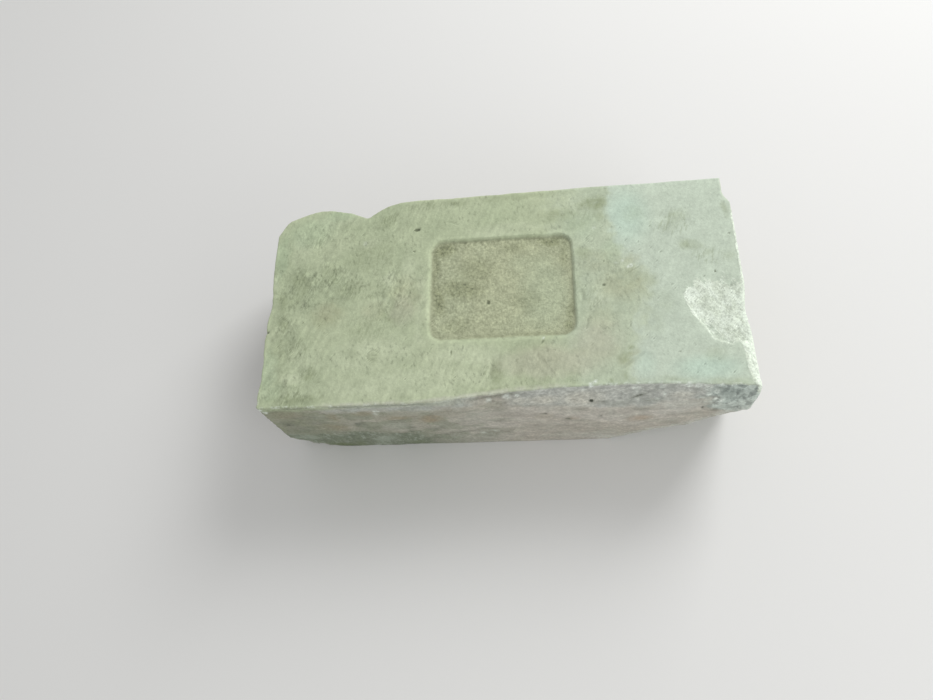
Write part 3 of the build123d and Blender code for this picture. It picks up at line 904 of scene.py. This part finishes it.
class Nodes:
    """The shader nodes of one material, made in short lines. A value is a number, a colour or the output of
    another node."""

    def __init__(self, material):
        self.tree = material.node_tree
        self.shader = self.tree.nodes["Principled BSDF"]
        self.place = self.tree.nodes.new("ShaderNodeTexCoord").outputs["Object"]

    def put(self, socket, value):
        """Gives a socket its value."""
        if isinstance(value, bpy.types.NodeSocket):
            self.tree.links.new(value, socket)
        else:
            socket.default_value = value

    def mask(self, name):
        """One of the masks, read by its name."""
        node = self.tree.nodes.new("ShaderNodeAttribute")
        node.attribute_name = name
        return node.outputs["Fac"]

    def math(self, operation, a, b):
        """The result of an operation on two values."""
        node = self.tree.nodes.new("ShaderNodeMath")
        node.operation = operation
        self.put(node.inputs[0], a)
        self.put(node.inputs[1], b)
        return node.outputs[0]

    def times(self, a, b):
        """The product of two values."""
        return self.math("MULTIPLY", a, b)

    def spread(self, value, lowest, highest, to_low=0.0, to_high=1.0):
        """A value's range stretched to another range, smoothly and without passing its ends."""
        node = self.tree.nodes.new("ShaderNodeMapRange")
        node.interpolation_type = "SMOOTHSTEP"
        self.put(node.inputs["Value"], value)
        sockets = ("From Min", "From Max", "To Min", "To Max")
        for socket, number in zip(sockets, (lowest, highest, to_low, to_high)):
            node.inputs[socket].default_value = number
        return node.outputs["Result"]

    def mix(self, factor, a, b, kind="MIX"):
        """The first of two colours where the factor is 0, and the second where it is 1."""
        node = self.tree.nodes.new("ShaderNodeMix")
        node.data_type = "RGBA"
        node.blend_type = kind
        self.put(node.inputs["Factor"], factor)
        self.put(node.inputs["A"], a)
        self.put(node.inputs["B"], b)
        return node.outputs["Result"]

    def noise(self, size, detail=3.0, stretch=(1.0, 1.0, 1.0), turn=0.0, roughness=0.55):
        """Noise with bumps about SIZE millimetres across."""
        place = self.place
        if stretch != (1.0, 1.0, 1.0) or turn:
            mapping = self.tree.nodes.new("ShaderNodeMapping")
            mapping.vector_type = "TEXTURE"
            self.put(mapping.inputs["Vector"], place)
            mapping.inputs["Scale"].default_value = stretch
            mapping.inputs["Rotation"].default_value = (0.0, 0.0, math.radians(turn))
            place = mapping.outputs["Vector"]
        node = self.tree.nodes.new("ShaderNodeTexNoise")
        self.put(node.inputs["Vector"], place)
        node.inputs["Scale"].default_value = 1 / (size * MM)
        node.inputs["Detail"].default_value = detail
        node.inputs["Roughness"].default_value = roughness
        return node.outputs["Fac"]

    def shade(self, colour, value, lowest, highest, darkest, brightest):
        """A colour made darker or brighter by a value."""
        return self.mix(1.0, colour, self.spread(value, lowest, highest, darkest, brightest), "MULTIPLY")

    def shade_where(self, colour, where, value, lowest, highest, darkest, brightest):
        """The same, as far as a mask goes."""
        return self.mix(where, colour, self.shade(colour, value, lowest, highest, darkest, brightest))

    def tint(self, colour, name, other, most):
        """A colour with another over it where a mask lies, at most by a share."""
        return self.mix(self.spread(self.mask(name), 0.0, 1.0, 0.0, most), colour, other)

    def stain(self, colour, name, other, texture, lowest, highest, least, most=1.0):
        """A colour with another over it where a mask lies, uneven by a texture."""
        uneven = self.spread(texture, lowest, highest, least, most)
        return self.mix(self.times(self.mask(name), uneven), colour, other)


# Colours as a picture under plain light would show them. First the dust on the upper face.
DUST = srgb(182, 192, 160)
DUST_GREEN = srgb(172, 183, 151)
DUST_LIGHT = srgb(196, 205, 175)
# Pale dust of the right part, with painted light in it
PALE_DUST_AND_LIGHT = srgb(192, 204, 186)
DUST_COLD = srgb(188, 208, 191)
DUST_CHILL = srgb(166, 188, 156)
DUST_ROSY = srgb(188, 188, 168)
DUST_CREAM = srgb(190, 193, 174)
STROKE_DARK = srgb(142, 152, 122)
SMUDGE_OLIVE = srgb(142, 152, 119)
EARTH_BROWN = srgb(168, 168, 134)

# The sides, with the worn band, the chips and the dirty foot of the front face
SIDE_PINK = srgb(195, 191, 180)
SIDE_BROWN = srgb(185, 180, 167)
SIDE_PALE = srgb(192, 195, 185)
SIDE_STAIN = srgb(174, 154, 130)
SIDE_GREY = srgb(176, 178, 167)
# Painted shade of the front face, darker towards its left end
SIDE_SHADE = srgb(143, 147, 124)
SIDE_DARK = srgb(120, 124, 110)
SIDE_FLAKED = srgb(158, 163, 146)
WORN_GREY = srgb(188, 193, 186)
WORN_LIGHT = srgb(206, 205, 192)
CHIP_GREY = srgb(191, 203, 194)
CHIP_DARK = srgb(138, 148, 142)
FOOT_GREY = srgb(126, 136, 116)
FOOT_PALE = srgb(166, 175, 160)
FOOT_OLIVE = srgb(108, 120, 84)

# The panel's floor
PANEL_EARTH = srgb(183, 188, 155)
PANEL_GREY = srgb(178, 188, 158)
GRIME_DARK = srgb(142, 147, 112)
CRUMB_DARK = srgb(96, 103, 76)

# Broken clay, lime and holes
BROKEN_WHITE = srgb(231, 241, 226)
BROKEN_CREAM = srgb(222, 232, 215)
BROKEN_GREY = srgb(205, 215, 197)
LIME_WHITE = srgb(222, 230, 220)
PIT_DARK = srgb(104, 112, 88)
# Painted shade in the holes of the front face
HOLE_SHADE = srgb(72, 76, 66)


def dust_colour(n, clouds, mottle):
    """The dust on the upper face: its tints, stains and fine dark brush marks, with painted light, paler to
    the right and on brush ridges.
    """
    dust = n.mix(n.spread(clouds, 0.38, 0.62), DUST_GREEN, DUST)
    dust = n.stain(dust, "paler", DUST_LIGHT, mottle, 0.30, 0.60, 0.5)
    # Paler and bluer to the right: pale dust and painted light.
    dust = n.mix(n.mask("pale_and_lit"), dust, PALE_DUST_AND_LIGHT)
    dust = n.mix(n.mask("cold"), dust, DUST_COLD)
    dust = n.stain(dust, "earth", EARTH_BROWN, mottle, 0.30, 0.60, 0.4)
    dust = n.stain(dust, "smudge", SMUDGE_OLIVE, mottle, 0.32, 0.62, 0.3)
    strokes = n.noise(1.0, 2.0, (1.0, 4.5, 1.0), -18.0)
    dust = n.stain(dust, "strokes", STROKE_DARK, strokes, 0.50, 0.62, 0.0, 0.8)
    dust = n.tint(dust, "chill", DUST_CHILL, 0.28)
    dust = n.tint(dust, "rosy", DUST_ROSY, 0.5)
    dust = n.stain(dust, "cream", DUST_CREAM, mottle, 0.35, 0.55, 0.3, 0.9)

    marks = n.noise(1.5, 3.0, (1.0, 2.0, 1.0), 14.0)
    rougher = n.spread(n.mask("pale_and_lit"), 0.0, 1.0, 1.0, 0.40)
    patches = n.times(n.spread(n.noise(13.0, 3.0), 0.46, 0.60), rougher)
    dust = n.shade_where(dust, patches, marks, 0.56, 0.67, 1.0, 0.76)
    dust = n.shade_where(dust, rougher, marks, 0.36, 0.64, 1.03, 0.965)
    dust = n.shade(dust, n.noise(1.6, 3.0, (1.0, 5.0, 1.0), -20.0), 0.30, 0.70, 0.97, 1.03)
    # Lighter on the brush ridges and darker between them: painted light and shade of the relief.
    dust = n.shade(dust, n.mask("brush_ridge_shading"), 0.20, 0.80, 0.95, 1.045)
    dust = n.shade(dust, n.noise(3.6, 4.0, roughness=0.65), 0.32, 0.68, 0.96, 1.035)

    clumps = n.spread(n.noise(6.0, 3.0, (1.0, 1.4, 1.0), 20.0), 0.44, 0.60)
    busy = n.times(n.mask("busy"), n.spread(clumps, 0.0, 1.0, 0.25, 1.0))
    dust = n.shade_where(dust, busy, n.noise(1.3, 3.0, (1.0, 2.4, 1.0), 12.0, 0.6), 0.46, 0.64, 1.06, 0.72)
    dust = n.shade_where(dust, busy, n.noise(0.8, 2.0, (1.0, 3.6, 1.0), -24.0), 0.50, 0.66, 1.02, 0.82)
    broad_marks = n.noise(4.5, 3.0, (1.0, 1.6, 1.0), -30.0)
    return n.shade_where(dust, n.mask("busy"), broad_marks, 0.34, 0.66, 0.90, 1.08)


def foot_colour(n, mottle):
    """The dirt at the foot of the front face."""
    foot = n.mix(n.spread(n.noise(2.4, 4.0, (1.0, 1.0, 2.2)), 0.48, 0.72), FOOT_GREY, FOOT_PALE)
    foot = n.shade(foot, n.noise(1.6, 3.0, (1.0, 1.0, 2.0)), 0.35, 0.65, 0.86, 1.08)
    foot = n.stain(foot, "foot_light", FOOT_PALE, mottle, 0.35, 0.60, 0.2, 0.9)
    return n.stain(foot, "olive_foot", FOOT_OLIVE, mottle, 0.35, 0.60, 0.5)


def side_colour(n, dust, mottle, grain):
    """The sides: bare clay, with all that the front face carries."""
    side = n.mix(n.spread(n.noise(26.0, 4.0, (2.2, 2.2, 1.0)), 0.40, 0.62), SIDE_PINK, SIDE_BROWN)
    side = n.mix(n.spread(mottle, 0.48, 0.70, 0.0, 0.35), side, SIDE_GREY)
    side = n.tint(side, "flaked", SIDE_FLAKED, 0.75)
    side = n.shade(side, n.noise(2.6, 4.0, (9.0, 9.0, 1.0)), 0.30, 0.70, 0.95, 1.04)
    side = n.shade(side, n.noise(6.0, 4.0, (2.0, 2.0, 1.0), roughness=0.6), 0.34, 0.66, 0.90, 1.07)
    side = n.shade(side, n.noise(2.4, 4.0, (1.5, 1.5, 1.0), roughness=0.65), 0.32, 0.68, 0.87, 1.09)
    side = n.stain(side, "light", SIDE_PALE, mottle, 0.30, 0.60, 0.4)

    side = n.mix(n.times(n.mask("worn"), 0.75), side, WORN_GREY)
    side = n.stain(side, "worn_light", WORN_LIGHT, mottle, 0.30, 0.60, 0.6)
    torn = n.noise(2.0, 4.0, (1.6, 1.6, 1.0), roughness=0.7)
    side = n.shade_where(side, n.mask("worn"), torn, 0.36, 0.64, 1.10, 0.82)

    side = n.stain(side, "brown", SIDE_STAIN, mottle, 0.30, 0.60, 0.3)
    # Darker and greener towards the left end of the front face: painted shade.
    side = n.stain(side, "left_shade", SIDE_SHADE, mottle, 0.25, 0.65, 0.55)
    side = n.stain(side, "dark", SIDE_DARK, grain, 0.35, 0.60, 0.4)
    side = n.mix(n.spread(n.times(n.mask("dusty"), mottle), 0.10, 0.60, 0.0, 0.8), side, WORN_GREY)
    side = n.tint(side, "foot", foot_colour(n, mottle), 0.85)
    side = n.mix(n.mask("over"), side, dust)
    side = n.stain(side, "seam", SIDE_DARK, grain, 0.30, 0.60, 0.3, 0.8)
    side = n.tint(side, "broken", SIDE_GREY, 0.55)

    chips = n.noise(3.2, 4.0, (1.0, 1.0, 1.8), roughness=0.65)
    chips = n.mix(n.spread(chips, 0.46, 0.62), CHIP_GREY, CHIP_DARK)
    side = n.tint(side, "chipped", n.shade(chips, mottle, 0.3, 0.7, 0.88, 1.10), 0.85)
    dark_chips = n.times(n.mask("dark"), n.mask("chipped"))
    side = n.mix(n.times(dark_chips, n.spread(grain, 0.35, 0.60, 0.4, 0.9)), side, CHIP_DARK)
    return n.stain(side, "frayed", SIDE_PALE, grain, 0.40, 0.56, 0.0, 0.9)


def floor_colour(n, clouds, grain):
    """The panel's granular floor, with grime along its sides."""
    floor = n.mix(n.spread(clouds, 0.40, 0.60, 0.0, 0.35), PANEL_EARTH, DUST)
    floor = n.tint(floor, "smooth", PANEL_GREY, 0.7)
    floor = n.stain(floor, "grime", GRIME_DARK, grain, 0.35, 0.60, 0.45)
    crumbs = n.noise(1.4, 3.0, roughness=0.65)
    floor = n.shade(floor, crumbs, 0.40, 0.66, 1.02, 0.86)
    floor = n.shade(floor, n.noise(4.4, 4.0, roughness=0.65), 0.34, 0.66, 0.91, 1.10)
    coarse, grains = n.math("SUBTRACT", 1.0, n.mask("smooth")), n.noise(1.0, 2.0, (1.0, 1.6, 1.0), 10.0)
    floor = n.shade_where(floor, coarse, grains, 0.36, 0.64, 0.86, 1.04)
    return n.stain(floor, "grime", CRUMB_DARK, crumbs, 0.52, 0.66, 0.0, 0.75)


def broken_colour(n, flakes, grain):
    """The white broken clay of the spall and the right rim."""
    broken = n.mix(n.spread(flakes, 0.46, 0.57), BROKEN_CREAM, BROKEN_GREY)
    chunks = n.noise(3.4, 3.0, (1.0, 1.6, 1.0), 30.0)
    broken = n.mix(n.spread(chunks, 0.50, 0.62, 0.0, 0.6), broken, BROKEN_GREY)
    broken = n.mix(n.spread(chunks, 0.48, 0.36, 0.0, 0.7), broken, BROKEN_WHITE)
    broken = n.stain(broken, "tip", BROKEN_WHITE, flakes, 0.68, 0.54, 0.5)
    # Greyer in the creases of the broken clay: painted shade.
    broken = n.mix(n.spread(n.mask("crease"), 0.50, 0.85, 0.0, 0.5), broken, BROKEN_GREY)
    return n.shade(broken, grain, 0.34, 0.60, 0.88, 1.05)


def clay_colour(n, mottle, grain):
    """The colour of the whole brick."""
    clouds = n.noise(38.0, 3.0)
    dust = dust_colour(n, clouds, mottle)
    colour = n.mix(n.mask("up"), side_colour(n, dust, mottle, grain), dust)
    colour = n.tint(colour, "panel", floor_colour(n, clouds, grain), 0.92)
    colour = n.tint(colour, "panel_wall", PANEL_EARTH, 0.35)

    flakes = n.noise(1.2, 3.0, (1.0, 2.2, 1.0), 30.0, roughness=0.65)
    stippled = n.math("ADD", n.mask("fresh"), n.times(n.math("SUBTRACT", flakes, 0.5), 1.8))
    colour = n.mix(n.spread(stippled, 0.40, 0.66), colour, broken_colour(n, flakes, grain))

    colour = n.stain(colour, "lime", LIME_WHITE, grain, 0.35, 0.55, 0.3)
    edges = n.spread(n.mask("hollow"), 0.02, 0.26, 0.8, 0.0)
    edges = n.times(edges, n.spread(n.noise(2.6, 5.0, roughness=0.7), 0.48, 0.62))
    colour = n.mix(n.times(edges, n.mask("lip")), colour, LIME_WHITE)
    # Darker the deeper each pit is: dirt in the pits and painted shade.
    colour = n.mix(n.spread(n.mask("pit"), 0.1, 0.9, 0.0, 0.75), colour, PIT_DARK)
    # Nearly black in the holes of the front face: painted shade.
    colour = n.mix(n.spread(n.mask("front_pit"), 0.1, 0.7, 0.0, 0.9), colour, HOLE_SHADE)

    # Darker in hollows and creases and lighter on arrises: painted shade and painted highlight, with some dirt
    # in the hollows and wear on the arrises.
    colour = n.shade(colour, n.mask("hollow"), 0.40, 0.74, 1.03, 0.89)
    colour = n.shade(colour, n.mask("crease"), 0.30, 0.80, 1.04, 0.90)
    colour = n.shade(colour, mottle, 0.30, 0.70, 0.95, 1.05)
    colour = n.shade(colour, grain, 0.30, 0.70, 0.94, 1.05)
    sides = n.math("SUBTRACT", 1.0, n.mask("up"))
    colour = n.shade_where(colour, sides, n.noise(1.3, 3.0, roughness=0.7), 0.32, 0.68, 0.88, 1.10)
    return n.mix(n.spread(n.noise(0.75, 2.0), 0.70, 0.78, 0.0, 0.45), colour, PIT_DARK)


def sand_height(n):
    """The height of the finest grain, highest on the panel's floor and where the brick is broken or dirty."""
    rough = n.math("ADD", n.mask("panel"), n.mask("fresh"))
    rough = n.math("ADD", rough, n.math("ADD", n.mask("broken"), n.mask("foot")))
    return n.times(n.noise(0.9, 4.0, roughness=0.7), n.spread(rough, 0.0, 1.0, 0.55, 1.6))


def fired_clay():
    """The material of the whole brick."""
    material = plain("fired_clay", DUST, 0.92)
    n = Nodes(material)
    mottle = n.noise(8.0, 5.0, roughness=0.6)
    grain = n.noise(1.1, 4.0, roughness=0.65)
    n.put(n.shader.inputs["Base Color"], clay_colour(n, mottle, grain))
    n.put(n.shader.inputs["Roughness"], n.spread(grain, 0.3, 0.7, 0.98, 0.84))
    bump = n.tree.nodes.new("ShaderNodeBump")
    bump.inputs["Strength"].default_value = 0.8
    bump.inputs["Distance"].default_value = 0.35 * MM
    n.put(bump.inputs["Height"], sand_height(n))
    n.put(n.shader.inputs["Normal"], bump.outputs["Normal"])
    return material


brick = brick_piece()
brick.data.materials.append(fired_clay())
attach(brick, "root")
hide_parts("brick")


# Floor, light and camera

FLOOR_SIZE = 6.0  # metres
FLOOR_CORNERS = [(-FLOOR_SIZE, -FLOOR_SIZE, 0), (FLOOR_SIZE, -FLOOR_SIZE, 0), (FLOOR_SIZE, FLOOR_SIZE, 0),
                 (-FLOOR_SIZE, FLOOR_SIZE, 0)]
floor_mesh = bpy.data.meshes.new("floor")
floor_mesh.from_pydata(FLOOR_CORNERS, [], [(0, 1, 2, 3)])
floor = bpy.data.objects.new("floor", floor_mesh)
bpy.context.scene.collection.objects.link(floor)
floor_mesh.materials.append(plain("floor", srgb(226, 226, 224), 0.95))

SKY_STRENGTH = 0.55
world = bpy.data.worlds.new("studio")
world.use_nodes = True
background = world.node_tree.nodes["Background"]
background.inputs["Color"].default_value = (1, 1, 1, 1)
background.inputs["Strength"].default_value = SKY_STRENGTH
bpy.context.scene.world = world


LAMP_AIM = Vector((0, 0, 0.05))


def lamp(name, place, size, power):
    """A square soft lamp, in metres and watts, that faces the brick."""
    light = bpy.data.lights.new(name, "AREA")
    light.size = size
    light.energy = power
    lamp_object = bpy.data.objects.new(name, light)
    lamp_object.location = place
    lamp_object.rotation_euler = (LAMP_AIM - Vector(place)).to_track_quat("-Z", "Y").to_euler()
    bpy.context.scene.collection.objects.link(lamp_object)


lamp("key", (0.60, 0.72, 0.75), 0.6, 8.8)
lamp("fill", (0.50, -0.50, 0.30), 0.5, 1.2)

# The camera that fits the photograph. Its turn is the rotation vector that takes the row frame's axes to
# right, down and forward in the picture.
CAMERA_TURN = Vector((-3.55543, 0.03689, 0.22280))
FOCAL_PIXELS, PICTURE_WIDTH = 700.0, 933.0
SENSOR_WIDTH = 36.0  # millimetres
camera_data = bpy.data.cameras.new("camera")
camera = bpy.data.objects.new("camera", camera_data)
to_picture = Matrix.Rotation(CAMERA_TURN.length, 3, CAMERA_TURN)
camera_axes = to_picture.transposed() @ Matrix.Diagonal((1, -1, -1))
camera.matrix_world = Matrix.Translation(CAMERA_PLACE) @ camera_axes.to_4x4()
camera_data.sensor_width = SENSOR_WIDTH
camera_data.sensor_fit = "HORIZONTAL"
camera_data.lens = SENSOR_WIDTH * FOCAL_PIXELS / PICTURE_WIDTH
camera_data.clip_start = 0.01
bpy.context.scene.collection.objects.link(camera)
bpy.context.scene.camera = camera
bpy.context.scene.view_settings.view_transform = "Standard"
